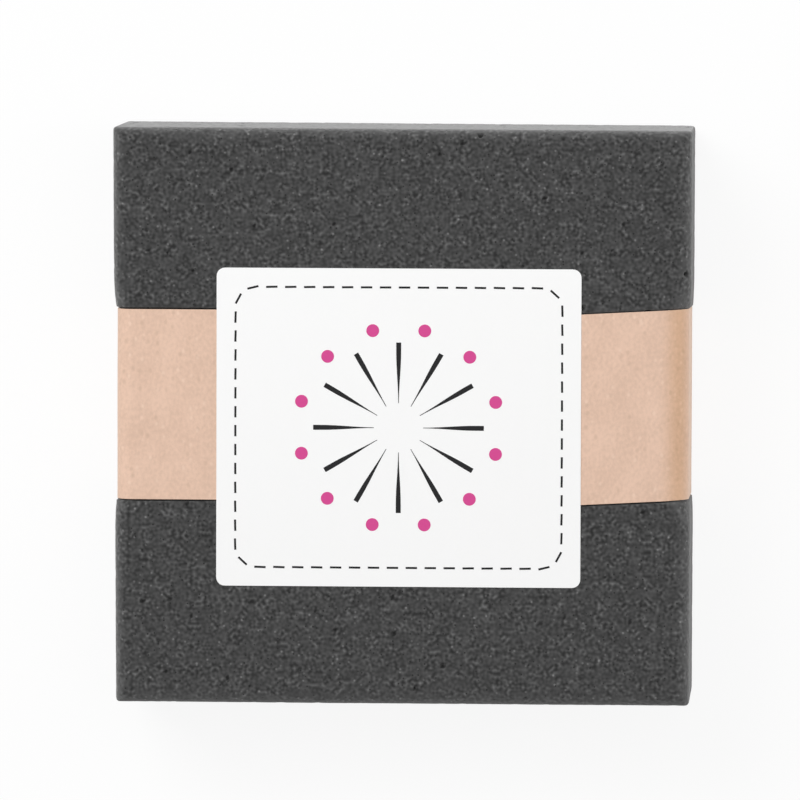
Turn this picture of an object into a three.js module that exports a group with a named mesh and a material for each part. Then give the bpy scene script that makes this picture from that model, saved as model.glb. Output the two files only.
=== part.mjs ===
// Needle felting mat: a square block of fine-celled foam, held by a paper band that carries a blank label.
// Millimetres, +Z up. The mat lies on its back with the label uppermost, and the origin is under its centre.
import * as THREE from 'three';

// Foam block: X is its width, Y its length and Z its thickness
const FOAM_WIDTH = 152.4;
const FOAM_LENGTH = 152.4;
const FOAM_THICKNESS = 50.8;
const FOAM_EDGE_RADIUS = 1.5;

// Paper band, wrapped round the width and the thickness
const BAND_WIDTH = 50.2;
const BAND_PAPER = 0.3;
const BAND_BEND_RADIUS = 5;
const BAND_SHIFT = 2.9;

// How the tight band squeezes the foam: the depth at the sides, and the lengths over which the foam recovers
const SIDE_SQUEEZE = 0.7;
const SQUEEZE_MARGIN = 0.5;
const SQUEEZE_REACH = 12;

// Lapped seam of the band, under the block
const LAP_LENGTH = 18;
const LAP_SHIFT = 0;
const LAP_STEP = 4;
const LAP_END_GAP = 0.6;
const TAPE_WIDTH = 12;
const TAPE_THICKNESS = 0.1;
const TAPE_INSET = 1;

// Label on the front, and the adhesive film under it
const LABEL_WIDTH = 96.1;
const LABEL_HEIGHT = 84;
const LABEL_CORNER_RADIUS = 2.2;
const LABEL_PAPER = 0.14;
const LABEL_SHIFT_X = -0.9;
const LABEL_SHIFT_Y = -2.9;
const ADHESIVE_THICKNESS = 0.06;
const ADHESIVE_INSET = 0.4;

// Clearances: band to foam, one flat layer to the next, and the seam above the table
const BAND_FOAM_GAP = 0.3;
const LAYER_GAP = 0.02;
const TABLE_GAP = 0.15;

// Facets of a quarter bend, of a block edge and of the squeezed foam's slope
const BEND_STEPS = 6;
const EDGE_STEPS = 3;
const SLOPE_STEPS = 6;

// Levels of the seam's layers, from the table up
const outerLapLow = TABLE_GAP;
const tapeLow = outerLapLow + BAND_PAPER + LAYER_GAP;
const innerLapLow = tapeLow + TAPE_THICKNESS + LAYER_GAP;

// Outer face of the band's loop, in the plane of X and Z
const bandLoop = {
  halfWidth: FOAM_WIDTH / 2 - SIDE_SQUEEZE,
  low: innerLapLow,
  high: FOAM_THICKNESS,
  radius: BAND_BEND_RADIUS,
};

// Sections of the foam: free, as it was cut, and squeezed inside the band
const freeSection = {
  halfWidth: FOAM_WIDTH / 2,
  low: 0,
  high: FOAM_THICKNESS,
  radius: FOAM_EDGE_RADIUS,
};
const squeezedSection = insetSection(bandLoop, BAND_PAPER + BAND_FOAM_GAP);

// A section drawn in evenly on all sides.
function insetSection(section, inset) {
  return {
    halfWidth: section.halfWidth - inset,
    low: section.low + inset,
    high: section.high - inset,
    radius: section.radius - inset,
  };
}

// A section part of the way from one to another.
function mixSections(from, to, share) {
  return {
    halfWidth: THREE.MathUtils.lerp(from.halfWidth, to.halfWidth, share),
    low: THREE.MathUtils.lerp(from.low, to.low, share),
    high: THREE.MathUtils.lerp(from.high, to.high, share),
    radius: THREE.MathUtils.lerp(from.radius, to.radius, share),
  };
}

// The points of a quarter bend round a centre, anticlockwise from its starting angle.
function quarterBend(x, z, radius, startAngle) {
  const arc = new THREE.EllipseCurve(x, z, radius, radius, startAngle, startAngle + Math.PI / 2);
  return arc.getPoints(BEND_STEPS);
}

// The four rounded corners of a section, anticlockwise from the lower right.
function sectionCorners({ halfWidth, low, high, radius }) {
  const right = halfWidth - radius;
  const bottom = low + radius;
  const top = high - radius;
  return [
    quarterBend(right, bottom, radius, -Math.PI / 2),
    quarterBend(right, top, radius, 0),
    quarterBend(-right, top, radius, Math.PI / 2),
    quarterBend(-right, bottom, radius, Math.PI),
  ];
}

// A closed solid through sections that follow each other along Y, with flat ends.
function loftAlongY(stations) {
  const outlines = stations.map(({ section }) => sectionCorners(section).flat());
  const count = outlines[0].length;
  const positions = [];
  stations.forEach(({ y }, index) => {
    outlines[index].forEach((point) => positions.push(point.x, y, point.y));
  });
  const indices = [];
  for (let ring = 0; ring + 1 < stations.length; ring += 1) {
    for (let side = 0; side < count; side += 1) {
      const here = ring * count + side;
      const next = ring * count + ((side + 1) % count);
      indices.push(here, here + count, next);
      indices.push(next, here + count, next + count);
    }
  }
  const lastRing = (stations.length - 1) * count;
  for (const [a, b, c] of THREE.ShapeUtils.triangulateShape(outlines[0], [])) {
    indices.push(a, b, c);
    indices.push(lastRing + c, lastRing + b, lastRing + a);
  }
  const geometry = new THREE.BufferGeometry();
  geometry.setAttribute('position', new THREE.Float32BufferAttribute(positions, 3));
  geometry.setIndex(indices);
  geometry.computeVertexNormals();
  return geometry;
}

// A strip of paper seen on edge: its middle line given half the thickness on either side.
function stripShape(middle, thickness) {
  const left = [];
  const right = [];
  middle.forEach((point, index) => {
    const before = middle[Math.max(index - 1, 0)];
    const after = middle[Math.min(index + 1, middle.length - 1)];
    const arriving = point.clone().sub(before).normalize();
    const leaving = after.clone().sub(point).normalize();
    const along = arriving.add(leaving).normalize();
    const span = index === 0 || index === middle.length - 1 ? 1 : along.dot(leaving);
    const offset = new THREE.Vector2(-along.y, along.x).multiplyScalar(thickness / 2 / span);
    left.push(point.clone().add(offset));
    right.push(point.clone().sub(offset));
  });
  return new THREE.Shape([...right, ...left.reverse()]);
}

// A flat sheet with rounded corners, lying on its own origin plane.
function roundedSheet(width, height, radius, thickness) {
  const x = width / 2 - radius;
  const y = height / 2 - radius;
  const outline = [
    ...quarterBend(x, -y, radius, -Math.PI / 2),
    ...quarterBend(x, y, radius, 0),
    ...quarterBend(-x, y, radius, Math.PI / 2),
    ...quarterBend(-x, -y, radius, Math.PI),
  ];
  return new THREE.ExtrudeGeometry(new THREE.Shape(outline), { depth: thickness, bevelEnabled: false });
}

// Stations of a block end: the cut edge rounds over into the full section. Side is -1 or 1 along Y.
function endStations(side) {
  const stations = [];
  for (let step = 0; step <= EDGE_STEPS; step += 1) {
    const angle = (step / EDGE_STEPS) * (Math.PI / 2);
    const inset = FOAM_EDGE_RADIUS * (1 - Math.sin(angle));
    const back = FOAM_EDGE_RADIUS * (1 - Math.cos(angle));
    const section = { ...insetSection(freeSection, inset), radius: FOAM_EDGE_RADIUS };
    stations.push({ y: side * (FOAM_LENGTH / 2 - back), section });
  }
  return stations;
}

// Stations of the slope beside the band, where the squeezed foam swells back to its free section.
function slopeStations(side) {
  const stations = [];
  const start = BAND_WIDTH / 2 + SQUEEZE_MARGIN;
  for (let step = 0; step <= SLOPE_STEPS; step += 1) {
    const share = step / SLOPE_STEPS;
    const recovered = 1 - (1 - share) ** 3;
    const y = BAND_SHIFT + side * (start + SQUEEZE_REACH * share);
    stations.push({ y, section: mixSections(squeezedSection, freeSection, recovered) });
  }
  return stations;
}

function foamBlock() {
  const stations = [...endStations(-1), ...slopeStations(-1), ...slopeStations(1), ...endStations(1)];
  stations.sort((a, b) => a.y - b.y);
  const material = new THREE.MeshStandardMaterial({ color: 0x484848, roughness: 0.95, metalness: 0 });
  const mesh = new THREE.Mesh(loftAlongY(stations), material);
  mesh.name = 'foam_block';
  return mesh;
}

function paperBand() {
  const half = BAND_PAPER / 2;
  const innerLevel = innerLapLow + half;
  const outerLevel = outerLapLow + half;
  const innerEnd = LAP_SHIFT - LAP_LENGTH / 2;
  const outerEnd = LAP_SHIFT + LAP_LENGTH / 2;
  const stepEnd = innerEnd - LAP_END_GAP;
  const middle = [
    new THREE.Vector2(innerEnd, innerLevel),
    ...sectionCorners(insetSection(bandLoop, half)).flat(),
    new THREE.Vector2(stepEnd - LAP_STEP, innerLevel),
    new THREE.Vector2(stepEnd, outerLevel),
    new THREE.Vector2(outerEnd, outerLevel),
  ];
  const shape = stripShape(middle, BAND_PAPER);
  const geometry = new THREE.ExtrudeGeometry(shape, { depth: BAND_WIDTH, bevelEnabled: false });
  const material = new THREE.MeshStandardMaterial({ color: 0xe0c0aa, roughness: 0.85, metalness: 0 });
  const mesh = new THREE.Mesh(geometry, material);
  mesh.name = 'paper_band';
  // The strip's section stands upright, and its width runs back from the band's upper edge.
  mesh.rotation.x = Math.PI / 2;
  mesh.position.y = BAND_SHIFT + BAND_WIDTH / 2;
  return mesh;
}

function seamTape() {
  const geometry = new THREE.BoxGeometry(TAPE_WIDTH, BAND_WIDTH - 2 * TAPE_INSET, TAPE_THICKNESS);
  const material = new THREE.MeshStandardMaterial({ color: 0xe6e2d4, roughness: 0.35, metalness: 0 });
  const mesh = new THREE.Mesh(geometry, material);
  mesh.name = 'seam_tape';
  mesh.position.set(LAP_SHIFT, BAND_SHIFT, tapeLow + TAPE_THICKNESS / 2);
  return mesh;
}

function labelLayers() {
  const adhesive = new THREE.Mesh(
    roundedSheet(
      LABEL_WIDTH - 2 * ADHESIVE_INSET,
      LABEL_HEIGHT - 2 * ADHESIVE_INSET,
      LABEL_CORNER_RADIUS - ADHESIVE_INSET,
      ADHESIVE_THICKNESS,
    ),
    new THREE.MeshStandardMaterial({ color: 0xf0ede4, roughness: 0.4, metalness: 0 }),
  );
  adhesive.name = 'label_adhesive';
  adhesive.position.z = LAYER_GAP;

  const label = new THREE.Mesh(
    roundedSheet(LABEL_WIDTH, LABEL_HEIGHT, LABEL_CORNER_RADIUS, LABEL_PAPER),
    new THREE.MeshStandardMaterial({ color: 0xfafafa, roughness: 0.6, metalness: 0 }),
  );
  label.name = 'front_label';
  label.position.z = LAYER_GAP + ADHESIVE_THICKNESS + LAYER_GAP;

  const layers = new THREE.Group();
  layers.add(adhesive, label);
  layers.position.set(LABEL_SHIFT_X, LABEL_SHIFT_Y, bandLoop.high);
  return layers;
}

const mat = new THREE.Group();
mat.add(foamBlock(), paperBand(), seamTape(), labelLayers());

export default mat;
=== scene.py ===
"""Looks of a needle felting mat: a charcoal foam block in a kraft paper band that carries a white label.

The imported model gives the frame: +Z is up through the mat's thickness, the label faces up, and +Y is the
way that the band slides. Sizes are named in millimetres, and MM turns them into metres.
"""

import logging
import math
from dataclasses import dataclass, fields
from enum import Enum
from functools import reduce

import bpy
from mathutils import Matrix, Vector, noise


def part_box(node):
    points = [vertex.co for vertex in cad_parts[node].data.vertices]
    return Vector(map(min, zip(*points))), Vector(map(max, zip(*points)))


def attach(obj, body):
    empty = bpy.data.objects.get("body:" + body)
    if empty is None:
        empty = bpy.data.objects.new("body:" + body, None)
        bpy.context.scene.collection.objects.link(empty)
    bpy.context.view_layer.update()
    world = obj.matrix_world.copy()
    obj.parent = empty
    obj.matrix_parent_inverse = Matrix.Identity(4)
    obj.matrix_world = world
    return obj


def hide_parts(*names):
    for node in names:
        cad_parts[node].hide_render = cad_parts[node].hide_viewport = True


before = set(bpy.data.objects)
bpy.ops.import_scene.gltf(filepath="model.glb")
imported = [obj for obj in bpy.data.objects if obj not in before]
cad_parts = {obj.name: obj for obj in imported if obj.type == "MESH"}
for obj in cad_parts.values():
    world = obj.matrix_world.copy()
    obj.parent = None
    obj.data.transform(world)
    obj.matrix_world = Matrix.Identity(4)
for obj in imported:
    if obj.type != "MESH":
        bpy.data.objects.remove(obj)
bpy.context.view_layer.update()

LOG = logging.getLogger("felting_mat")
MM = 0.001
# Pore depth, which the foam finish darkens as painted shade
PORE_ATTRIBUTE = "pore"
# Mask of the groove beside the band, whose shade the foam finish paints
GROOVE_SHADE_ATTRIBUTE = "crease"
STRIP_ATTRIBUTE = "strip_place"
# Share of shade painted on the band's bends, darker where the paper turns away from the light
FOLD_SHADE_ATTRIBUTE = "fold"
CUT_EDGE_ANGLE = math.radians(50)
# How far the paper's inner end lies above its outer end, where they lap underneath
LAP_DROP = 0.44 * MM
WHITE = (1.0, 1.0, 1.0, 1.0)

Socket = bpy.types.NodeSocket
Node = bpy.types.Node
Material = bpy.types.Material
Piece = bpy.types.Object
Colour = tuple[float, float, float, float]
SOCKET_KINDS = {float: "NodeSocketFloat", int: "NodeSocketInt", Material: "NodeSocketMaterial"}


class Body(Enum):
    """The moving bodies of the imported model."""

    MAT = "mat"
    BAND = "band"


class Slot(Enum):
    """The record's material slots that new pieces take."""

    FOAM = "foam"
    KRAFT = "kraft_paper"
    LABEL = "label_paper"


class Wiring:
    """Adds nodes to one node tree and joins their sockets."""

    def __init__(self, tree: bpy.types.NodeTree) -> None:
        """Keeps the tree that the nodes go into."""
        self.tree = tree

    def feed(self, socket: Socket, value: object) -> None:
        """Links a socket to another one, or sets its own value.

        Args:
            socket: the input to fill.
            value: an output socket, or a plain value.
        """
        if isinstance(value, Socket):
            self.tree.links.new(value, socket)
        else:
            socket.default_value = value

    def node(self, kind: str, inputs: dict | None = None, **options: object) -> Node:
        """Adds one node.

        Args:
            kind: Blender's name for the node type.
            inputs: values or sockets by input name or index.
            options: properties of the node.

        Returns:
            The new node.
        """
        made = self.tree.nodes.new(kind)
        for name, value in options.items():
            setattr(made, name, value)
        for key, value in (inputs or {}).items():
            self.feed(made.inputs[key], value)
        return made

    def out(self, kind: str, inputs: dict | None = None, **options: object) -> Socket:
        """Adds one node and returns its first output."""
        return self.node(kind, inputs, **options).outputs[0]

    def math(self, operation: str, *values: object, clamp: bool = False) -> Socket:
        """Adds a Math node and returns its output."""
        return self.out("ShaderNodeMath", dict(enumerate(values)), operation=operation, use_clamp=clamp)

    def add(self, *values: object) -> Socket:
        """Returns the sum of two or more numbers."""
        return reduce(lambda total, value: self.math("ADD", total, value), values)

    def less(self, value: object, taken: object) -> Socket:
        """Returns a number less another one."""
        return self.math("SUBTRACT", value, taken)

    def times(self, value: object, factor: object) -> Socket:
        """Returns the product of two numbers."""
        return self.math("MULTIPLY", value, factor)

    def over(self, value: object, divisor: object, clamp: bool = False) -> Socket:
        """Returns a number divided by another one, held from 0 to 1 if asked."""
        return self.math("DIVIDE", value, divisor, clamp=clamp)

    def size(self, value: object) -> Socket:
        """Returns a number without its sign."""
        return self.math("ABSOLUTE", value)

    def held(self, value: object, limit: object) -> Socket:
        """Returns a number kept between a limit and its negative."""
        return self.math("MAXIMUM", self.math("MINIMUM", value, limit), self.times(limit, -1.0))

    def vector(self, operation: str, *values: object) -> Socket:
        """Adds a Vector Math node and returns its vector."""
        return self.out("ShaderNodeVectorMath", dict(enumerate(values)), operation=operation)

    def scaled(self, vector: object, factor: object) -> Socket:
        """Returns a vector times a number."""
        return self.out("ShaderNodeVectorMath", {0: vector, "Scale": factor}, operation="SCALE")

    def joined(self, x: object, y: object, z: object) -> Socket:
        """Returns a vector made of three numbers."""
        return self.out("ShaderNodeCombineXYZ", {0: x, 1: y, 2: z})

    def parts(self, vector: Socket) -> tuple[Socket, ...]:
        """Returns the three numbers of a vector."""
        return tuple(self.node("ShaderNodeSeparateXYZ", {0: vector}).outputs)

    def ramped(self, *values: object, **options: object) -> Socket:
        """Maps a value along a straight line from one range to another, and holds it outside the range.

        Args:
            values: the value, the low and the high end of its range, and the results at these ends.
            options: properties of the node.

        Returns:
            The mapped value.
        """
        return self.out("ShaderNodeMapRange", dict(enumerate(values)), **options)

    def ranged(self, *values: object) -> Socket:
        """Maps a value as ramped does, but with a gentle start and end."""
        return self.ramped(*values, interpolation_type="SMOOTHSTEP")

    def cells(self, place: Socket, scale: object) -> tuple[Socket, Socket]:
        """Returns the distance to the middle of a Voronoi cell, and the cell's own random number."""
        made = self.node("ShaderNodeTexVoronoi", {"Vector": place, "Scale": scale})
        return made.outputs["Distance"], self.parts(made.outputs["Color"])[0]

    def noise(self, place: Socket, scale: object, detail: float) -> Socket:
        """Adds a three-dimensional noise texture and returns its value."""
        return self.out("ShaderNodeTexNoise", {"Vector": place, "Scale": scale, "Detail": detail})

    def blend(self, share: object, first: object, second: object, mode: str = "MIX") -> Socket:
        """Mixes two colours by a share."""
        inputs = {0: share, 6: first, 7: second}
        return self.node("ShaderNodeMix", inputs, data_type="RGBA", blend_type=mode).outputs[2]

    def object_place(self) -> Socket:
        """Returns the place on the piece, in metres."""
        return self.node("ShaderNodeTexCoord").outputs["Object"]

    def attribute(self, name: str, output: str = "Fac") -> Socket:
        """Returns what the piece's mesh keeps under a name."""
        return self.node("ShaderNodeAttribute", attribute_name=name).outputs[output]

    def placed(self, group: bpy.types.NodeTree, inputs: dict[str, object]) -> dict[str, Socket]:
        """Places a shared group with values of its own, and returns its results by name."""
        return dict(self.node("ShaderNodeGroup", inputs, node_tree=group).outputs.items())

    def bump(self, shader: Node, height: Socket, strength: float, depth_mm: float) -> None:
        """Gives a shader a bump from a height."""
        inputs = {"Strength": strength, "Distance": depth_mm * MM, "Height": height}
        self.feed(shader.inputs["Normal"], self.out("ShaderNodeBump", inputs))


class Group(Wiring):
    """A node group with named inputs, which group["Name"] gives, and named results."""

    def __init__(self, name: str, kind: str, inputs: dict[str, str], outputs: dict[str, str]) -> None:
        """Makes the group and its sockets.

        Args:
            name: the group's name.
            kind: ShaderNodeTree or GeometryNodeTree.
            inputs: socket type by input name.
            outputs: socket type by output name.
        """
        super().__init__(bpy.data.node_groups.new(name, kind))
        for way, sockets in (("INPUT", inputs), ("OUTPUT", outputs)):
            for label, socket_type in sockets.items():
                self.tree.interface.new_socket(name=label, in_out=way, socket_type=socket_type)
        self.given = self.node("NodeGroupInput").outputs
        self.result = self.node("NodeGroupOutput").inputs

    def __getitem__(self, name: str) -> Socket:
        """Returns an input of the group."""
        return self.given[name]


class PieceTree(Group):
    """A geometry node tree that grows one piece from named sizes."""

    def __init__(self, name: str, values: dict[str, object]) -> None:
        """Makes the tree's inputs.

        Args:
            name: the piece's name.
            values: the inputs by name, whose types give the sockets'.
        """
        kinds = {label: SOCKET_KINDS[type(value)] for label, value in values.items()}
        super().__init__(name, "GeometryNodeTree", kinds, {"Geometry": "NodeSocketGeometry"})
        self.name = name
        self.values = values

    def position(self) -> Socket:
        """Returns the place of each point."""
        return self.out("GeometryNodeInputPosition")

    def moved(self, part: Socket, place: Socket) -> Socket:
        """Moves every point of a part to its new place."""
        return self.out("GeometryNodeSetPosition", {"Geometry": part, "Position": place})

    def marked(self, part: Socket, name: str, value: Socket) -> Socket:
        """Keeps a number on every point of a part, for the finish to read."""
        inputs = {"Geometry": part, "Name": name, "Value": value}
        return self.out("GeometryNodeStoreNamedAttribute", inputs, data_type="FLOAT", domain="POINT")

    def copied(self, part: Socket, points: Socket, turn: Socket) -> Socket:
        """Lays a copy of a part on every point, as instances."""
        inputs = {"Points": points, "Instance": part, "Rotation": turn}
        return self.out("GeometryNodeInstanceOnPoints", inputs)

    def dressed(self, part: Socket, finish: str) -> Socket:
        """Makes a part's instances real and gives it the finish that an input names."""
        real = self.out("GeometryNodeRealizeInstances", {"Geometry": part})
        return self.out("GeometryNodeSetMaterial", {"Geometry": real, "Material": self[finish]})

    def grow(self, made: Socket) -> Piece:
        """Runs the tree and keeps what it makes as a plain mesh.

        Args:
            made: the geometry that the tree gives out.

        Returns:
            An object at the origin, with no modifier left on it.
        """
        self.feed(self.result["Geometry"], made)
        piece = sheet_object(self.name, [], [])
        modifier = piece.modifiers.new(self.name, "NODES")
        modifier.node_group = self.tree
        for item in self.tree.interface.items_tree:
            if item.item_type == "SOCKET" and item.in_out == "INPUT":
                modifier[item.identifier] = self.values[item.name]
        settle(piece, modifier)
        return piece


def node_inputs(sizes: object) -> dict[str, object]:
    """Returns the numbers of a sub-assembly as node inputs: edge_mm becomes Edge, in metres.

    Args:
        sizes: the dataclass that holds them.

    Returns:
        Values by input name.
    """
    inputs = {}
    for field in fields(sizes):
        value = getattr(sizes, field.name)
        if type(value) in SOCKET_KINDS:
            name = field.name.removesuffix("_mm")
            inputs[name.replace("_", " ").title()] = value if name == field.name else value * MM
    return inputs


def settle(piece: Piece, modifier: bpy.types.Modifier) -> None:
    """Keeps what a modifier makes as the piece's plain mesh, and takes the modifier off.

    Args:
        piece: the object that carries the modifier.
        modifier: its one modifier.
    """
    depsgraph = bpy.context.evaluated_depsgraph_get()
    depsgraph.update()
    made = bpy.data.meshes.new_from_object(piece.evaluated_get(depsgraph), depsgraph=depsgraph)
    piece.modifiers.remove(modifier)
    piece.data = made
    made.name = piece.name


def sheet_object(name: str, points: list[Vector], faces: list[tuple[int, ...]]) -> Piece:
    """Makes a smooth-shaded mesh object at the origin.

    Args:
        name: the new object's name.
        points: vertex places in metres.
        faces: vertex numbers of each face.

    Returns:
        The new object.
    """
    mesh = bpy.data.meshes.new(name)
    mesh.from_pydata(points, [], faces)
    mesh.shade_smooth()
    piece = bpy.data.objects.new(name, mesh)
    bpy.context.scene.collection.objects.link(piece)
    return piece


def grid_faces(columns: int, rows: int) -> list[tuple[int, int, int, int]]:
    """Returns the faces of a grid whose points run along its columns first.

    Args:
        columns: points along a row.
        rows: number of rows.

    Returns:
        Four vertex numbers for each face.
    """
    starts = (row * columns + at for row in range(rows - 1) for at in range(columns - 1))
    return [(start, start + 1, start + columns + 1, start + columns) for start in starts]


def thicken(piece: Piece, thickness: float) -> None:
    """Gives a sheet its paper thickness, half on each side of its middle, with crisp cut edges.

    Args:
        piece: the sheet.
        thickness: the paper's thickness in metres.
    """
    solidify = piece.modifiers.new("paper_thickness", "SOLIDIFY")
    solidify.thickness = thickness
    solidify.offset = 0.0
    solidify.use_even_offset = True
    settle(piece, solidify)
    piece.data.set_sharp_from_angle(angle=CUT_EDGE_ANGLE)


def held_share(share: float) -> float:
    """Returns a share held from 0 to 1."""
    return max(0.0, min(1.0, share))


def waves(size_mm: float) -> float:
    """Returns the texture scale that gives waves or cells of a size."""
    return 1 / (size_mm * MM)


def new_material(name: str, constants: dict[str, object]) -> tuple[Material, Wiring, Node]:
    """Makes a node material.

    Args:
        name: the material's name.
        constants: values of the shader's own sockets, by name.

    Returns:
        The material, its wiring and its Principled shader.
    """
    material = bpy.data.materials.new(name)
    material.use_nodes = True
    shader = next(n for n in material.node_tree.nodes if n.type == "BSDF_PRINCIPLED")
    for socket, value in constants.items():
        shader.inputs[socket].default_value = value
    return material, Wiring(material.node_tree), shader


@dataclass(frozen=True)
class PaperGrain:
    """The shared paper grain: a mottle, sparse flecks and a height, drawn out a little along the fibres."""

    fine_detail: float = 3.0
    fine_share: float = 0.6
    broad_scale: float = 0.12
    broad_detail: float = 2.0
    broad_share: float = 0.4
    dark_scale: float = 0.42
    dark_luck: float = 0.62
    light_scale: float = 0.5
    light_luck: float = 0.66
    fleck_core: float = 0.08
    fleck_reach: float = 0.34

    def group(self) -> bpy.types.NodeTree:
        """Returns the node group that every paper places with its own values."""
        inputs = {"Place": "NodeSocketVector"}
        inputs.update(dict.fromkeys(("Fibre Length", "Fibre Width"), "NodeSocketFloat"))
        outputs = dict.fromkeys(("Mottle", "Dark Fleck", "Light Fleck", "Height"), "NodeSocketFloat")
        wiring = Group("paper_fibre", "ShaderNodeTree", inputs, outputs)
        x, y, z = wiring.parts(wiring["Place"])
        across = wiring.over(x, wiring["Fibre Width"])
        along = wiring.over(y, wiring["Fibre Length"])
        stretched = wiring.joined(across, along, wiring.over(z, wiring["Fibre Width"]))
        fine = wiring.noise(stretched, 1.0, self.fine_detail)
        broad = wiring.noise(stretched, self.broad_scale, self.broad_detail)
        mottle = wiring.add(wiring.times(fine, self.fine_share), wiring.times(broad, self.broad_share))
        wiring.feed(wiring.result["Mottle"], mottle)
        flecks = {
            "Dark Fleck": (self.dark_scale, self.dark_luck),
            "Light Fleck": (self.light_scale, self.light_luck),
        }
        for name, (scale, least) in flecks.items():
            distance, luck = wiring.cells(stretched, scale)
            fleck = wiring.ranged(distance, self.fleck_core, self.fleck_reach, 1.0, 0.0)
            wiring.feed(wiring.result[name], wiring.times(fleck, wiring.math("GREATER_THAN", luck, least)))
        wiring.feed(wiring.result["Height"], fine)
        return wiring.tree


@dataclass(frozen=True)
class FoamFinish:
    """Matt charcoal foam whose cut cells show as light struts and dark pores, with shade painted into its
    pores, pinholes and the groove beside the band.
    """

    dark: Colour = (0.004, 0.004, 0.004, 1.0)
    light: Colour = (0.220, 0.220, 0.220, 1.0)
    strut_mm: float = 0.92
    cluster_mm: float = 2.0
    drift_mm: float = 5.0
    patch_mm: float = 3.0
    speck_mm: float = 1.5
    patch_map: tuple[float, ...] = (0.3, 0.7, 0.6, 1.6)
    speck_map: tuple[float, ...] = (0.05, 0.32, 1.0, 0.0)
    speck_luck: float = 0.74
    pinhole_map: tuple[float, ...] = (0.05, 0.22, 1.0, 0.0)
    pinhole_luck: float = 0.6
    plain_share: float = 0.86
    cluster_share: float = 0.12
    drift_share: float = 0.08
    # Painted shade: darker where the cells and pits go deeper
    pore_share: float = -0.12
    speck_share: float = 0.55
    # Painted shade: dark pinholes, with no hole in the shape
    pinhole_share: float = -0.85
    full_share: float = 1.745
    contrast: float = 2.4
    roughness: float = 0.95
    specular: float = 0.1
    sheen: float = 0.395
    sheen_roughness: float = 0.63
    bump: float = 0.5
    bump_mm: float = 0.3

    def material(self) -> Material:
        """Returns the finished material."""
        constants = {
            "Roughness": self.roughness,
            "Specular IOR Level": self.specular,
            "Sheen Weight": self.sheen,
            "Sheen Roughness": self.sheen_roughness,
        }
        material, wiring, shader = new_material("charcoal_foam", constants)
        place = wiring.object_place()
        strut, cluster, drift = (
            wiring.less(wiring.noise(place, waves(size_mm), 0.0), 0.5)
            for size_mm in (self.strut_mm, self.cluster_mm, self.drift_mm)
        )
        patch = wiring.noise(place, waves(self.patch_mm), 0.0)
        strut = wiring.times(strut, wiring.ranged(patch, *self.patch_map))
        distance, luck = wiring.cells(place, waves(self.speck_mm))
        speck = wiring.ranged(distance, *self.speck_map)
        speck = wiring.times(speck, wiring.math("GREATER_THAN", luck, self.speck_luck))
        pinhole = wiring.ranged(distance, *self.pinhole_map)
        pinhole = wiring.times(pinhole, wiring.math("LESS_THAN", luck, self.pinhole_luck))
        # The pore depth and the pinholes take painted shade; the other terms are grain
        share = wiring.add(
            self.plain_share,
            strut,
            wiring.times(cluster, self.cluster_share),
            wiring.times(drift, self.drift_share),
            wiring.times(wiring.attribute(PORE_ATTRIBUTE), self.pore_share),
            wiring.times(speck, self.speck_share),
            wiring.times(pinhole, self.pinhole_share),
        )
        held = wiring.over(share, self.full_share, clamp=True)
        # Painted shade: the foam is darkened in the groove beside the band
        lit = wiring.less(1.0, wiring.attribute(GROOVE_SHADE_ATTRIBUTE))
        tone = wiring.times(wiring.math("POWER", held, self.contrast), lit)
        wiring.feed(shader.inputs["Base Color"], wiring.blend(tone, self.dark, self.light))
        wiring.bump(shader, held, self.bump, self.bump_mm)
        return material


@dataclass(frozen=True)
class KraftFinish:
    """Uncoated kraft paper: a dry surface with fine fibres and flecks, with shade painted darker along its
    folds where the paper turns away from the light.
    """

    pale: Colour = (0.810, 0.570, 0.440, 1.0)
    deep: Colour = (0.700, 0.486, 0.370, 1.0)
    dark_fleck: Colour = (0.60, 0.41, 0.30, 1.0)
    light_fleck: Colour = (0.87, 0.65, 0.52, 1.0)
    # Painted shade: the tone that the bends are multiplied by
    fold: Colour = (0.835, 0.76, 0.65, 1.0)
    fibre_mm: float = 1.2
    fibre_width_mm: float = 0.9
    mottle_map: tuple[float, ...] = (0.3, 0.7, 0.0, 1.0)
    dark_share: float = 0.45
    light_share: float = 0.5
    roughness: float = 0.82
    specular: float = 0.3
    sheen: float = 0.6
    sheen_roughness: float = 0.4
    sheen_tint: Colour = (1.0, 0.84, 0.72, 1.0)
    bump: float = 0.3
    bump_mm: float = 0.06

    def material(self, fibre: bpy.types.NodeTree) -> Material:
        """Returns the finished material.

        Args:
            fibre: the shared paper grain group.

        Returns:
            A material that reads the band's own place along and across the strip.
        """
        constants = {
            "Roughness": self.roughness,
            "Specular IOR Level": self.specular,
            "Sheen Weight": self.sheen,
            "Sheen Roughness": self.sheen_roughness,
            "Sheen Tint": self.sheen_tint,
        }
        material, wiring, shader = new_material("kraft_paper", constants)
        inputs = {
            "Place": wiring.attribute(STRIP_ATTRIBUTE, "Vector"),
            "Fibre Length": self.fibre_mm * MM,
            "Fibre Width": self.fibre_width_mm * MM,
        }
        grain = wiring.placed(fibre, inputs)
        tone = wiring.blend(wiring.ranged(grain["Mottle"], *self.mottle_map), self.deep, self.pale)
        tone = wiring.blend(wiring.times(grain["Dark Fleck"], self.dark_share), tone, self.dark_fleck)
        tone = wiring.blend(wiring.times(grain["Light Fleck"], self.light_share), tone, self.light_fleck)
        # Painted shade along the bends, standing in for the paper turning away from the light
        painted_fold_shade = wiring.blend(wiring.attribute(FOLD_SHADE_ATTRIBUTE), tone, self.fold, "MULTIPLY")
        wiring.feed(shader.inputs["Base Color"], painted_fold_shade)
        wiring.bump(shader, grain["Height"], self.bump, self.bump_mm)
        return material


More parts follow.
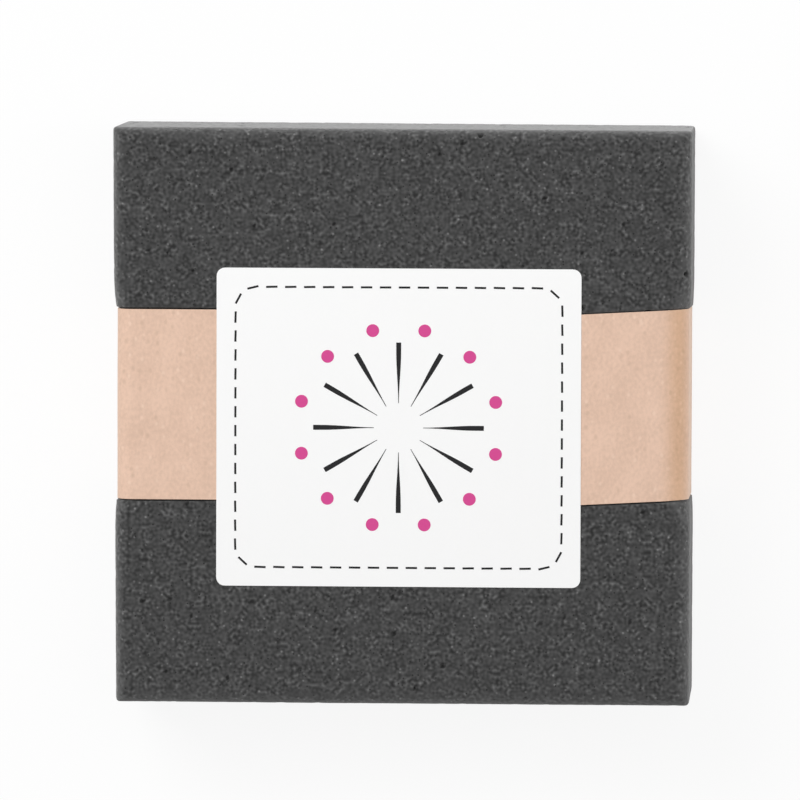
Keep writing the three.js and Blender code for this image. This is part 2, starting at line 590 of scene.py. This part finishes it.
@dataclass(frozen=True)
class LabelFinish:
    """Smooth white label paper with the least trace of fibre."""

    bright: Colour = (0.95, 0.95, 0.95, 1.0)
    shade: Colour = (0.925, 0.925, 0.92, 1.0)
    fibre_mm: float = 1.2
    fibre_width_mm: float = 0.5
    roughness: float = 0.5
    bump: float = 0.08
    bump_mm: float = 0.02

    def material(self, fibre: bpy.types.NodeTree) -> Material:
        """Returns the finished material.

        Args:
            fibre: the shared paper grain group.

        Returns:
            A material on Object coordinates.
        """
        material, wiring, shader = new_material("label_paper", {"Roughness": self.roughness})
        inputs = {
            "Place": wiring.object_place(),
            "Fibre Length": self.fibre_mm * MM,
            "Fibre Width": self.fibre_width_mm * MM,
        }
        grain = wiring.placed(fibre, inputs)
        wiring.feed(shader.inputs["Base Color"], wiring.blend(grain["Mottle"], self.shade, self.bright))
        wiring.bump(shader, grain["Height"], self.bump, self.bump_mm)
        return material


@dataclass(frozen=True)
class SpottedFinish:
    """A finish of one tone with a faint cloudiness: printing ink, tape or adhesive film."""

    name: str
    tone: Colour
    roughness: float
    cloud_mm: float = 2.5
    cloud_detail: float = 2.0
    cloud_range: tuple[float, float] = (0.3, 0.7)
    roughness_rise: float = 0.08
    depth: float = 0.1
    specular: float = 0.5

    def material(self) -> Material:
        """Returns the finished material."""
        material, wiring, shader = new_material(self.name, {"Specular IOR Level": self.specular})
        cloud = wiring.noise(wiring.object_place(), waves(self.cloud_mm), self.cloud_detail)
        darker = (*(part * (1 - self.depth) for part in self.tone[:3]), 1.0)
        wiring.feed(shader.inputs["Base Color"], wiring.blend(cloud, darker, self.tone))
        dullest = self.roughness + self.roughness_rise
        rough = wiring.ranged(cloud, *self.cloud_range, self.roughness, dullest)
        wiring.feed(shader.inputs["Roughness"], rough)
        return material


@dataclass
class BandSlip:
    """How far the strip runs off true along Y: a dip behind the label, then a rise to the right fold."""

    start_mm: float = -49.0
    end_mm: float = 47.0
    dip_mm: float = -0.8
    rise_mm: float = 0.7
    turn_mm: float = 5.0

    def __post_init__(self) -> None:
        """Takes the band's box from the frame."""
        self.low, self.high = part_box("paper_band")

    def at(self, x: float, z: float) -> float:
        """Returns the slip at one place on the band.

        Args:
            x: the place across the width.
            z: the place through the thickness.

        Returns:
            The slip along Y in metres.
        """
        start = self.start_mm * MM
        end = self.end_mm * MM
        turn = self.turn_mm * MM
        share = held_share((x - start) / (end - start))
        dip = self.dip_mm * MM * share * share * (3 - 2 * share)
        risen = held_share((x - end) / (self.high.x - end))
        front = dip + (self.rise_mm - self.dip_mm) * MM * risen
        depth = (z - self.low.z - turn) / (self.high.z - self.low.z - 2 * turn)
        return front * (2 * held_share(depth) - 1)

    def socket(self, wiring: Wiring, x: Socket, z: Socket) -> Socket:
        """Returns the same slip inside a geometry node tree.

        Args:
            wiring: the tree's wiring.
            x: the place across the width.
            z: the place through the thickness.

        Returns:
            The slip along Y in metres.
        """
        end = self.end_mm * MM
        turn = self.turn_mm * MM
        dip = wiring.ranged(x, self.start_mm * MM, end, 0.0, self.dip_mm * MM)
        rise = wiring.ramped(x, end, self.high.x, 0.0, (self.rise_mm - self.dip_mm) * MM)
        depth = wiring.ramped(z, self.low.z + turn, self.high.z - turn, -1.0, 1.0)
        return wiring.times(wiring.add(dip, rise), depth)


class FoamTree(PieceTree):
    """The node tree that grows the foam."""

    def slab(self) -> Socket:
        """Returns the cut slab round the origin: an even grid with its corners and edges rounded over."""
        size = self.joined(self["Width"], self["Length"], self["Thickness"])
        counts = {"Vertices X": self["Columns"], "Vertices Y": self["Rows"], "Vertices Z": self["Layers"]}
        cube = self.out("GeometryNodeMeshCube", {"Size": size, **counts})
        x, y, z = self.parts(self.position())
        half_x, half_y, half_z = self.parts(self.scaled(size, 0.5))
        # Square corner in plan to a round one
        core_x = self.held(x, self.less(half_x, self["Corner"]))
        core_y = self.held(y, self.less(half_y, self["Corner"]))
        away_x = self.less(x, core_x)
        away_y = self.less(y, core_y)
        longest = self.math("MAXIMUM", self.size(away_x), self.size(away_y))
        outward = self.scaled(self.vector("NORMALIZE", self.joined(away_x, away_y, 0.0)), longest)
        plan_x, plan_y, _ = self.parts(self.vector("ADD", self.joined(core_x, core_y, 0.0), outward))
        # Square edge between a face and a side to a round one
        edge = self["Edge"]
        near_side = self.math("MINIMUM", self.less(half_x, self.size(x)), self.less(half_y, self.size(y)))
        near_face = self.less(half_z, self.size(z))
        side_pull = self.math("SUBTRACT", 1.0, self.over(near_side, edge), clamp=True)
        face_pull = self.math("SUBTRACT", 1.0, self.over(near_face, edge), clamp=True)
        squares = self.add(self.times(side_pull, side_pull), self.times(face_pull, face_pull))
        pulled = self.less(1.0, self.over(1.0, self.math("SQRT", squares)))
        pulled = self.math("MAXIMUM", pulled, 0.0)
        inset = self.times(edge, self.times(side_pull, pulled))
        drop = self.times(edge, self.times(face_pull, pulled))
        kept_x = self.times(plan_x, self.less(1.0, self.over(inset, half_x)))
        kept_y = self.times(plan_y, self.less(1.0, self.over(inset, half_y)))
        kept_z = self.times(z, self.less(1.0, self.over(drop, half_z)))
        return self.moved(cube, self.joined(kept_x, kept_y, kept_z))

    def closed_in(self, away: Socket) -> Socket:
        """Returns how far a row moves towards the paper's edge, so that a narrow groove fits between rows.

        Args:
            away: the row's distance outside the edge.

        Returns:
            The move in metres, which is nothing at the edge and far from it.
        """
        first = self["Spacing"]
        second = self.times(first, 2.0)
        brim = self["Groove Brim"]
        near = self.ramped(away, 0.0, first, 0.0, self.less(first, self["Groove Width"]))
        step = self.less(self.add(first, self["Groove Width"]), brim)
        middle = self.ramped(away, first, second, 0.0, step)
        back = self.ramped(away, second, self["Nudge Reach"], 0.0, self.less(second, brim))
        inside = self.times(away, -1.0)
        lip = self.less(first, self["Groove Lip"])
        pushed = self.ramped(inside, 0.0, first, 0.0, lip)
        under = self.less(pushed, self.ramped(inside, first, second, 0.0, lip))
        return self.less(self.add(near, middle), self.add(back, under))

    def skew(self, across: Socket, along: Socket) -> Socket:
        """Returns how far the sides lean, because the block was cut a little out of square.

        Args:
            across: the place across the width, from -1 to 1.
            along: the place along the length, from -1 to 1.

        Returns:
            The move along X in metres.
        """
        left = self.times(self.times(self["Left Lean"], along), self.ramped(across, -1.0, 0.0, 1.0, 0.0))
        right = self.less(self.times(self["Right Lean"], along), self["Right Draw"])
        return self.less(self.times(right, self.ramped(across, 0.0, 1.0, 0.0, 1.0)), left)

    def squeezed(self, slab: Socket, slip: BandSlip) -> Socket:
        """Draws the slab in towards the band, tucks it under the paper and rounds its corners there.

        Args:
            slab: the slab's geometry.
            slip: how far the band runs off true.

        Returns:
            The slab with its waist, standing on the table.
        """
        x, y, z = self.parts(self.position())
        half_x = self.times(self["Width"], 0.5)
        half_z = self.times(self["Thickness"], 0.5)
        # A row of the grid goes to each edge of the paper, and two more close in on it
        for edge, outward in (("Low", -1.0), ("High", 1.0)):
            away = self.size(self.less(y, self[f"Band {edge}"]))
            y = self.add(y, self.ranged(away, 0.0, self["Nudge Reach"], self[f"{edge} Nudge"], 0.0))
            away = self.times(self.less(y, self[f"Band {edge}"]), outward)
            y = self.less(y, self.times(self.closed_in(away), outward))
        below = self.less(self["Band Low"], y)
        beyond = self.math("MAXIMUM", below, self.less(y, self["Band High"]))
        slipped = slip.socket(self, x, self.add(z, half_z))
        y = self.add(y, self.times(slipped, self.ranged(beyond, 0.0, self["Reach"], 1.0, 0.0)))
        # The foam recovers beside the paper and gives way under it
        free = self.over(beyond, self["Reach"], clamp=True)
        share = self.math("POWER", self.less(1.0, free), self["Slope Power"])
        free_bend = self.over(beyond, self["Bend Reach"], clamp=True)
        bend_share = self.math("POWER", self.less(1.0, free_bend), self["Bend Power"])
        under = self.ranged(beyond, 0.0, self["Spacing"], 1.0, 0.0)
        # One mask sets the groove's depth and the shade painted into it
        inner = self.ramped(beyond, self.times(self["Groove Lip"], -1.0), 0.0, 0.0, 1.0)
        outer = self.ramped(beyond, self["Groove Width"], self["Groove Brim"], 1.0, 0.0)
        crease = self.times(inner, outer)
        groove = self.times(crease, self["Groove"])
        tuck = self.times(under, self["Tuck"])
        side_tuck = self.times(under, self.add(self["Tuck"], self["Proud"]))
        drawn_x = self.less(half_x, self.add(self.times(share, self["Side Squeeze"]), side_tuck))
        top = self.less(half_z, self.add(self.times(share, self["Top Squeeze"]), tuck, groove))
        bottom = self.less(half_z, self.add(self.times(share, self["Bottom Squeeze"]), tuck))
        drawn_z = self.times(self.add(top, bottom), 0.5)
        shift = self.times(self.less(top, bottom), 0.5)
        # The corners along the block turn rounder towards the paper
        change = self["Bend Change"]
        bend = self.ranged(x, self.times(change, -1.0), change, self["Left Bend"], self["Right Bend"])
        radius = self.add(self["Edge"], self.times(bend_share, self.less(bend, self["Edge"])))
        radius = self.math("MAXIMUM", radius, self.times(under, self["Tucked Bend"]))
        at_x = self.times(x, self.over(drawn_x, half_x))
        at_z = self.times(z, self.over(drawn_z, half_z))
        held_x = self.held(at_x, self.less(drawn_x, radius))
        held_z = self.held(at_z, self.less(drawn_z, radius))
        away = self.joined(self.less(at_x, held_x), 0.0, self.less(at_z, held_z))
        reach = self.node("ShaderNodeVectorMath", {0: away}, operation="LENGTH").outputs["Value"]
        outward = self.scaled(self.vector("NORMALIZE", away), self.math("MINIMUM", reach, radius))
        # Away from the band the block shows that it was cut a little out of square
        across = self.over(x, half_x)
        along = self.over(y, self.times(self["Length"], 0.5))
        skew = self.times(self.skew(across, along), self.less(1.0, share))
        drop = self.add(self["Top Drop"], self.times(self["Top Lean"], across))
        y = self.less(y, self.times(self.math("MULTIPLY", along, 1.0, clamp=True), drop))
        core = self.joined(self.add(held_x, skew), y, self.add(held_z, shift, half_z))
        return self.moved(self.marked(slab, GROOVE_SHADE_ATTRIBUTE, crease), self.vector("ADD", core, outward))

    def celled(self, slab: Socket) -> Socket:
        """Opens the cut cells, wanders the cut faces a little inwards and keeps the pore depth on the mesh,
        for the finish to darken as painted shade.

        Args:
            slab: the slab's geometry.

        Returns:
            The foam's geometry.
        """
        place = self.position()
        distance, luck = self.cells(place, self.over(1.0, self["Cell"]))
        cup = self.ranged(distance, self["Cell Core"], self["Cell Reach"], 1.0, 0.0)
        pit_distance, pit_luck = self.cells(place, self.over(1.0, self["Pit Spacing"]))
        pit = self.ranged(pit_distance, self["Pit Core"], self["Pit Reach"], self["Pit Strength"], 0.0)
        pit = self.times(pit, self.math("GREATER_THAN", pit_luck, self["Pit Luck"]))
        pore = self.add(self.times(cup, luck), pit)
        sway = self.noise(place, self.over(1.0, self["Sway"]), 1.0)
        inward = self.add(self.times(pore, self["Cell Depth"]), self.times(sway, self["Wander"]))
        normal = self.out("GeometryNodeInputNormal")
        outward = self.scaled(normal, self.less(self["Swell"], inward))
        x, y, z = self.parts(self.vector("ADD", place, outward))
        standing = self.joined(x, y, self.math("MAXIMUM", z, 0.0))
        return self.moved(self.marked(slab, PORE_ATTRIBUTE, pore), standing)

    def foam(self, slip: BandSlip) -> Piece:
        """Returns the whole foam, squeezed by the band and dressed."""
        cut = self.celled(self.squeezed(self.slab(), slip))
        return self.grow(self.dressed(self.out("GeometryNodeSetShadeSmooth", {"Geometry": cut}), "Finish"))


@dataclass
class FoamBlock:
    """The block of foam: a cut slab, drawn in where the band grips it, with open cells all over."""

    slip: BandSlip
    spacing_mm: float = 0.6
    corner_mm: float = 0.9
    edge_mm: float = 4.2
    left_bend_mm: float = 5.0
    right_bend_mm: float = 8.0
    bend_change_mm: float = 1.0
    bend_reach_mm: float = 8.0
    bend_power: float = 2.0
    reach_mm: float = 12.0
    slope_power: float = 3.0
    nudge_reach_mm: float = 6.0
    proud_mm: float = 0.2
    tuck_mm: float = 0.6
    groove_mm: float = 1.15
    groove_width_mm: float = 0.42
    groove_brim_mm: float = 0.56
    groove_lip_mm: float = 0.15
    tucked_bend_mm: float = 5.5
    left_lean_mm: float = 0.45
    right_lean_mm: float = 0.1
    right_draw_mm: float = 0.265
    top_drop_mm: float = 0.46
    top_lean_mm: float = 0.24
    cell_mm: float = 2.4
    cell_depth_mm: float = 0.16
    cell_core: float = 0.05
    cell_reach: float = 0.7
    pit_spacing_mm: float = 5.5
    pit_strength: float = 7.0
    pit_core: float = 0.05
    pit_reach: float = 0.15
    pit_luck: float = 0.55
    sway_mm: float = 38.0
    wander_mm: float = 0.16
    swell_mm: float = 0.1

    def __post_init__(self) -> None:
        """Takes the block's box from the frame."""
        self.low, self.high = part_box("foam_block")

    def nudge(self, edge: float, rows: int) -> float:
        """Returns how far the nearest row of the grid lies from an edge of the band.

        Args:
            edge: the edge's place along Y.
            rows: how many rows the grid has along Y.

        Returns:
            The move in metres that brings that row to the edge.
        """
        step = (self.high.y - self.low.y) / (rows - 1)
        return edge - self.low.y - step * round((edge - self.low.y) / step)

    def values(self, finish: Material) -> dict[str, object]:
        """Returns the node tree's inputs in metres.

        Args:
            finish: the foam's material.

        Returns:
            Input values by name.
        """
        size = self.high - self.low
        columns, rows, layers = (round(side / (self.spacing_mm * MM)) + 1 for side in size)
        band_low, band_high = self.slip.low, self.slip.high
        return {
            **node_inputs(self),
            "Width": size.x,
            "Length": size.y,
            "Thickness": size.z,
            "Columns": columns,
            "Rows": rows,
            "Layers": layers,
            "Band Low": band_low.y,
            "Band High": band_high.y,
            "Low Nudge": self.nudge(band_low.y, rows),
            "High Nudge": self.nudge(band_high.y, rows),
            "Side Squeeze": self.high.x - band_high.x - self.proud_mm * MM,
            "Top Squeeze": self.high.z - band_high.z,
            "Bottom Squeeze": band_low.z + LAP_DROP,
            "Finish": finish,
        }

    def build(self, finish: Material) -> Piece:
        """Grows the foam and puts it in the place of its solid.

        Args:
            finish: the foam's material.

        Returns:
            The foam piece.
        """
        foam = FoamTree("foam", self.values(finish)).foam(self.slip)
        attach(foam, Body.MAT.value)
        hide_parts("foam_block")
        return foam


@dataclass(frozen=True)
class StripStation:
    """One place along the band: how far along, where its middle is, which way is out, how much shade is
    painted on it at a bend.
    """

    along: float
    x: float
    z: float
    out_x: float
    out_z: float
    fold: float


@dataclass
class PaperBand:
    """The strip of kraft paper: once round the block, its ends lapped underneath."""

    slip: BandSlip
    paper_mm: float = 0.3
    bend_mm: float = 5.0
    wide_bend_mm: float = 8.5
    bend_steps: int = 16
    # How strongly shade is painted into each bend
    right_fold: float = 1.0
    left_fold: float = 0.05
    under_fold: float = 0.4
    lap_mm: float = 18.0
    lap_step_mm: float = 4.0
    end_gap_mm: float = 0.6
    grid_mm: float = 1.4
    cockle_mm: float = 0.08
    cockle_along_mm: float = 22.0
    cockle_across_mm: float = 30.0
    cockle_seed: float = 3.0

    def route(self) -> list[tuple[float, float, float]]:
        """Returns the paper's middle line in the plane of X and Z, with how much painted shade each point
        takes at the bends.
        """
        half_paper = self.paper_mm * MM / 2
        half = self.slip.high.x - half_paper
        top = self.slip.high.z - half_paper
        outer = self.slip.low.z + half_paper
        inner = outer + LAP_DROP
        tight = self.bend_mm * MM - half_paper
        wide = self.wide_bend_mm * MM - half_paper
        start = -self.lap_mm * MM / 2
        points = [(start, inner, 0.0)]
        bends = (
            (half - tight, inner + tight, tight, self.under_fold),
            (half - wide, top - tight, wide, self.right_fold),
            (tight - half, top - tight, tight, self.left_fold),
            (tight - half, inner + tight, tight, self.under_fold),
        )
        for quarter, (x, z, reach, fold) in enumerate(bends):
            for step in range(self.bend_steps + 1):
                share = step / self.bend_steps
                angle = math.radians(90 * (quarter - 1 + share))
                # The painted shade is strongest in the middle of a bend
                painted_fold_shade = fold * math.sin(math.pi * share) ** 2
                points.append((x + reach * math.cos(angle), z + tight * math.sin(angle), painted_fold_shade))
        step_end = start - self.end_gap_mm * MM
        points.append((step_end - self.lap_step_mm * MM, inner, 0.0))
        points.append((step_end, outer, 0.0))
        points.append((-start, outer, 0.0))
        return points

    def stations(self) -> list[StripStation]:
        """Walks the route in short even steps."""
        route = [Vector(point) for point in self.route()]
        dense = [route[0]]
        for first, last in zip(route, route[1:]):
            steps = max(1, round((last - first).xy.length / (self.grid_mm * MM)))
            dense.extend(first.lerp(last, step / steps) for step in range(1, steps + 1))
        stations = []
        along = 0.0
        for index, point in enumerate(dense):
            before = dense[max(index - 1, 0)]
            after = dense[min(index + 1, len(dense) - 1)]
            along += (point - before).xy.length
            way = (after - before).xy.normalized()
            stations.append(StripStation(along, point.x, point.y, way.y, -way.x, point.z))
        return stations

    def place(self, station: StripStation, y: float) -> Vector:
        """Returns where the paper is, with its slight cockle.

        Args:
            station: the place along the strip.
            y: the place across the strip.

        Returns:
            The point in metres.
        """
        along = station.along / (self.cockle_along_mm * MM)
        ripple = noise.noise(Vector((along, y / (self.cockle_across_mm * MM), self.cockle_seed)))
        out = ripple * self.cockle_mm * MM
        shifted = y + self.slip.at(station.x, station.z)
        return Vector((station.x + station.out_x * out, shifted, station.z + station.out_z * out))

    def build(self, finish: Material) -> Piece:
        """Builds the strip as a sheet with its paper thickness.

        Args:
            finish: the kraft paper material.

        Returns:
            The band piece.
        """
        stations = self.stations()
        low = self.slip.low.y
        width = self.slip.high.y - low
        rows = round(width / (self.grid_mm * MM)) + 1
        points = []
        places = []
        for row in range(rows):
            y = low + width * row / (rows - 1)
            points.extend(self.place(station, y) for station in stations)
            for station in stations:
                places.extend((station.along, y, 0.0))
        # The painted shade of each point, kept on the mesh for the finish
        fold_shades = [station.fold for station in stations] * rows
        faces = [face[::-1] for face in grid_faces(len(stations), rows)]
        band = sheet_object("kraft_band", points, faces)
        kept = band.data.attributes
        kept.new(STRIP_ATTRIBUTE, "FLOAT_VECTOR", "POINT").data.foreach_set("vector", places)
        kept.new(FOLD_SHADE_ATTRIBUTE, "FLOAT", "POINT").data.foreach_set("value", fold_shades)
        band.data.materials.append(finish)
        thicken(band, self.paper_mm * MM)
        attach(band, Body.BAND.value)
        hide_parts("paper_band")
        return band


@dataclass
class FrontLabel:
    """The white paper label, stuck across the band and the foam's face."""

    corner_mm: float = 2.2
    grid_mm: float = 0.8

    def __post_init__(self) -> None:
        """Takes the label's box from the frame."""
        self.low, self.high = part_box("front_label")

    def build(self, finish: Material) -> Piece:
        """Builds the label as a sheet with round corners.

        Args:
            finish: the label paper material.

        Returns:
            The label piece.
        """
        size = self.high - self.low
        middle = (self.low + self.high) / 2
        core_x = size.x / 2 - self.corner_mm * MM
        core_y = size.y / 2 - self.corner_mm * MM
        columns = round(size.x / (self.grid_mm * MM)) + 1
        rows = round(size.y / (self.grid_mm * MM)) + 1
        points = []
        for row in range(rows):
            for column in range(columns):
                x = size.x * (column / (columns - 1) - 0.5)
                y = size.y * (row / (rows - 1) - 0.5)
                held = Vector((max(-core_x, min(core_x, x)), max(-core_y, min(core_y, y)), 0.0))
                away = Vector((x, y, 0.0)) - held
                if away.length > 0:
                    away *= max(abs(away.x), abs(away.y)) / away.length
                points.append(middle + held + away)
        label = sheet_object("label", points, grid_faces(columns, rows))
        label.data.materials.append(finish)
        thicken(label, size.z)
        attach(label, Body.BAND.value)
        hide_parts("front_label")
        return label


class PrintTree(PieceTree):
    """The node tree that lays out the label's print."""

    def border(self) -> Socket:
        """Returns the stitches along a rectangle with round corners, as instances."""
        margin = self.times(self["Inset"], 2.0)
        sides = {"Width": self.less(self["Width"], margin), "Height": self.less(self["Height"], margin)}
        line = self.out("GeometryNodeCurvePrimitiveQuadrilateral", sides, mode="RECTANGLE")
        bends = {"Curve": line, "Radius": self["Fillet"], "Count": self["Fillet Steps"]}
        rounded = self.out("GeometryNodeFilletCurve", bends, mode="POLY")
        stitches = self.over(self.out("GeometryNodeCurveLength", {0: rounded}), self["Pitch"])
        count = self.out("FunctionNodeFloatToInt", {0: stitches}, rounding_mode="ROUND")
        spread = self.node("GeometryNodeCurveToPoints", {"Curve": rounded, "Count": count}, mode="COUNT")
        aim = {"Vector": spread.outputs["Tangent"]}
        turn = self.out("FunctionNodeAlignRotationToVector", aim, axis="X", pivot_axis="Z")
        size = self.joined(self["Stitch"], self["Stitch Width"], self["Ink"])
        stitch = self.out("GeometryNodeMeshCube", {"Size": size})
        return self.copied(stitch, spread.outputs["Points"], turn)

    def ringed(self, part: Socket, radius: Socket) -> Socket:
        """Lays copies of a part evenly round a ring, as many as the needles, each facing outwards.

        Args:
            part: what is copied, drawn along X.
            radius: the ring's radius.

        Returns:
            The copies as instances.
        """
        ring = self.out("GeometryNodeMeshCircle", {"Vertices": self["Needles"], "Radius": radius})
        x, y, _ = self.parts(self.position())
        turn = self.joined(0.0, 0.0, self.math("ARCTAN2", y, x))
        return self.copied(part, ring, self.out("FunctionNodeEulerToRotation", {0: turn}))

    def rosette(self) -> Socket:
        """Returns the ring of needles, points inwards, as instances."""
        length = self.less(self["Needle End"], self["Needle Start"])
        size = self.joined(length, self["Needle Width"], self["Ink"])
        bar = self.out("GeometryNodeMeshCube", {"Size": size, "Vertices X": self["Needle Rows"]})
        x, y, z = self.parts(self.position())
        along = self.add(self.over(x, length), 0.5)
        slim = self.ranged(along, 0.0, self["Needle Taper"], self["Needle Point"], 1.0)
        needle = self.moved(bar, self.joined(x, self.times(y, slim), z))
        middle = self.times(self.add(self["Needle Start"], self["Needle End"]), 0.5)
        return self.ringed(needle, middle)

    def dots(self) -> Socket:
        """Returns the ring of dots round the needles, one between each two, as instances."""
        sizes = {"Vertices": self["Dot Sides"], "Radius": self["Dot"], "Depth": self["Ink"]}
        ring = self.ringed(self.out("GeometryNodeMeshCylinder", sizes), self["Dot Ring"])
        half_step = self.joined(0.0, 0.0, self.over(math.pi, self["Needles"]))
        return self.out("GeometryNodeTransform", {"Geometry": ring, "Rotation": half_step})

    def printed(self) -> Piece:
        """Returns the whole print, laid on the label and inked."""
        level = self.add(self["Face"], self["Lift"], self.times(self["Ink"], 0.5))
        place = self.joined(self["Middle X"], self["Middle Y"], level)
        whole = self.node("GeometryNodeJoinGeometry")
        for motif, ink in ((self.border(), "Dark"), (self.rosette(), "Dark"), (self.dots(), "Bright")):
            laid = self.out("GeometryNodeTransform", {"Geometry": motif, "Translation": place})
            self.feed(whole.inputs[0], self.dressed(laid, f"{ink} Ink"))
        return self.grow(whole.outputs[0])


@dataclass
class LabelPrint:
    """The printed motif: a running-stitch border round a ring of needles and dots."""

    inset_mm: float = 5.0
    fillet_mm: float = 6.0
    fillet_steps: int = 12
    stitch_mm: float = 3.0
    stitch_width_mm: float = 0.55
    pitch_mm: float = 5.0
    needles: int = 12
    needle_start_mm: float = 6.5
    needle_end_mm: float = 22.5
    needle_width_mm: float = 1.3
    needle_rows: int = 9
    needle_taper: float = 0.85
    needle_point: float = 0.12
    dot_ring_mm: float = 26.5
    dot_mm: float = 1.7
    dot_sides: int = 28
    ink_mm: float = 0.02
    lift_mm: float = 0.01

    def build(self, black: Material, pink: Material) -> Piece:
        """Grows the print on the label.

        Args:
            black: the dark ink.
            pink: the bright ink.

        Returns:
            The print piece.
        """
        low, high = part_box("front_label")
        values = {
            **node_inputs(self),
            "Width": high.x - low.x,
            "Height": high.y - low.y,
            "Middle X": (low.x + high.x) / 2,
            "Middle Y": (low.y + high.y) / 2,
            "Face": high.z,
            "Dark Ink": black,
            "Bright Ink": pink,
        }
        motif = PrintTree("label_print", values).printed()
        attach(motif, Body.BAND.value)
        return motif


@dataclass(frozen=True)
class Softbox:
    """A square lamp that faces the mat: its place and side in metres, and its power in watts."""

    name: str
    place: tuple[float, float, float]
    side: float
    power: float

    def hang(self) -> None:
        """Puts the lamp in the scene."""
        light = bpy.data.lights.new(self.name, "AREA")
        light.size = self.side
        light.energy = self.power
        lamp = bpy.data.objects.new(self.name, light)
        lamp.location = self.place
        lamp.rotation_euler = (-Vector(self.place)).to_track_quat("-Z", "Y").to_euler()
        bpy.context.scene.collection.objects.link(lamp)


@dataclass(frozen=True)
class Studio:
    """A white floor, plain soft light and the photograph's camera."""

    focal_px: float = 9031.0
    image_px: float = 800.0
    sensor_mm: float = 36.0
    camera_mm: tuple[float, float, float] = (117.25, 155.0, 2421.09)
    target_mm: tuple[float, float, float] = (-0.53, 4.43, 50.8)
    camera_up: tuple[float, float, float] = (-0.0059, 0.9984, -0.0566)
    camera_reach: float = 20.0
    floor_half: float = 4.0
    floor_tone: Colour = (0.95, 0.95, 0.95, 1.0)
    floor_glow: float = 0.9
    fill: float = 0.20
    bounce: float = 0.85
    lamps: tuple[Softbox, ...] = (
        Softbox("key_softbox", (-0.8, 1.05, 1.6), 1.1, 28.0),
        Softbox("front_softbox", (0.4, 0.3, 1.6), 0.9, 6.7),
        Softbox("right_softbox", (1.8, 0.2, 0.25), 0.45, 12.0),
        Softbox("left_softbox", (-1.8, 0.2, 0.45), 0.8, 5.0),
    )

    def build(self) -> None:
        """Sets up the floor, the world, the lamps and the camera."""
        self.floor()
        self.world()
        for lamp in self.lamps:
            lamp.hang()
        self.camera()
        bpy.context.scene.view_settings.view_transform = "Standard"

    def floor(self) -> None:
        """Lays a white floor that shows white and keeps a soft shadow."""
        half = self.floor_half
        places = ((-half, -half), (half, -half), (half, half), (-half, half))
        floor = sheet_object("floor", [Vector((x, y, 0.0)) for x, y in places], [(0, 1, 2, 3)])
        material = bpy.data.materials.new("white_floor")
        material.use_nodes = True
        wiring = Wiring(material.node_tree)
        output = next(n for n in material.node_tree.nodes if n.type == "OUTPUT_MATERIAL")
        seen = self.seen_directly(wiring)
        grey = (self.bounce, self.bounce, self.bounce, 1.0)
        diffuse = wiring.out("ShaderNodeBsdfDiffuse", {"Color": wiring.blend(seen, grey, self.floor_tone)})
        glow = wiring.out("ShaderNodeEmission", {"Color": WHITE, "Strength": 1.0})
        share = wiring.times(seen, self.floor_glow)
        mixed = wiring.out("ShaderNodeMixShader", {0: share, 1: diffuse, 2: glow})
        wiring.feed(output.inputs["Surface"], mixed)
        floor.data.materials.append(material)

    @staticmethod
    def seen_directly(wiring: Wiring) -> Socket:
        """Returns 1 for camera, glossy and transmission rays, and 0 for the rest."""
        rays = wiring.node("ShaderNodeLightPath").outputs
        seen = wiring.math("MAXIMUM", rays["Is Camera Ray"], rays["Is Glossy Ray"])
        return wiring.math("MAXIMUM", seen, rays["Is Transmission Ray"])

    def world(self) -> None:
        """Surrounds the mat with even white light, and shows white behind it."""
        world = bpy.data.worlds.new("studio_white")
        world.use_nodes = True
        bpy.context.scene.world = world
        wiring = Wiring(world.node_tree)
        shade = next(n for n in world.node_tree.nodes if n.type == "BACKGROUND")
        shade.inputs["Color"].default_value = WHITE
        strength = wiring.math("MULTIPLY_ADD", self.seen_directly(wiring), 1 - self.fill, self.fill)
        wiring.feed(shade.inputs["Strength"], strength)

    def camera(self) -> None:
        """Sets the camera at the photograph's place, turned as the photograph was."""
        data = bpy.data.cameras.new("camera")
        data.sensor_width = self.sensor_mm
        data.lens = self.focal_px / self.image_px * self.sensor_mm
        data.clip_end = self.camera_reach
        camera = bpy.data.objects.new("camera", data)
        back = (Vector(self.camera_mm) - Vector(self.target_mm)).normalized()
        right = Vector(self.camera_up).cross(back).normalized()
        turned = Matrix((right, back.cross(right), back)).transposed()
        camera.matrix_world = Matrix.Translation(Vector(self.camera_mm) * MM) @ turned.to_4x4()
        bpy.context.scene.collection.objects.link(camera)
        bpy.context.scene.camera = camera


def dress_hidden_layers() -> None:
    """Gives the tape and the adhesive, which stay as solids between the paper layers, their finishes."""
    films = {
        "seam_tape": SpottedFinish("clear_tape", (0.79, 0.76, 0.66, 1.0), 0.35),
        "label_adhesive": SpottedFinish("label_adhesive", (0.86, 0.84, 0.78, 1.0), 0.4),
    }
    for node, finish in films.items():
        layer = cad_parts[node].data
        layer.materials.clear()
        layer.materials.append(finish.material())


def main() -> None:
    """Builds the studio and every piece of the mat in order."""
    logging.basicConfig(level=logging.INFO, format="%(name)s: %(message)s")
    Studio().build()
    fibre = PaperGrain().group()
    black = SpottedFinish("black_ink", (0.008, 0.008, 0.009, 1.0), 0.6, cloud_mm=1.0, depth=0.3, specular=0.2)
    pink = SpottedFinish("pink_ink", (0.70, 0.075, 0.30, 1.0), 0.6, cloud_mm=1.0, specular=0.2)
    slip = BandSlip()
    pieces = [
        FoamBlock(slip).build(FoamFinish().material()),
        PaperBand(slip).build(KraftFinish().material(fibre)),
        FrontLabel().build(LabelFinish().material(fibre)),
        LabelPrint().build(black.material(), pink.material()),
    ]
    dress_hidden_layers()
    for piece in pieces:
        LOG.info("%s: %d vertices", piece.name, len(piece.data.vertices))


if __name__ == "__main__":
    main()
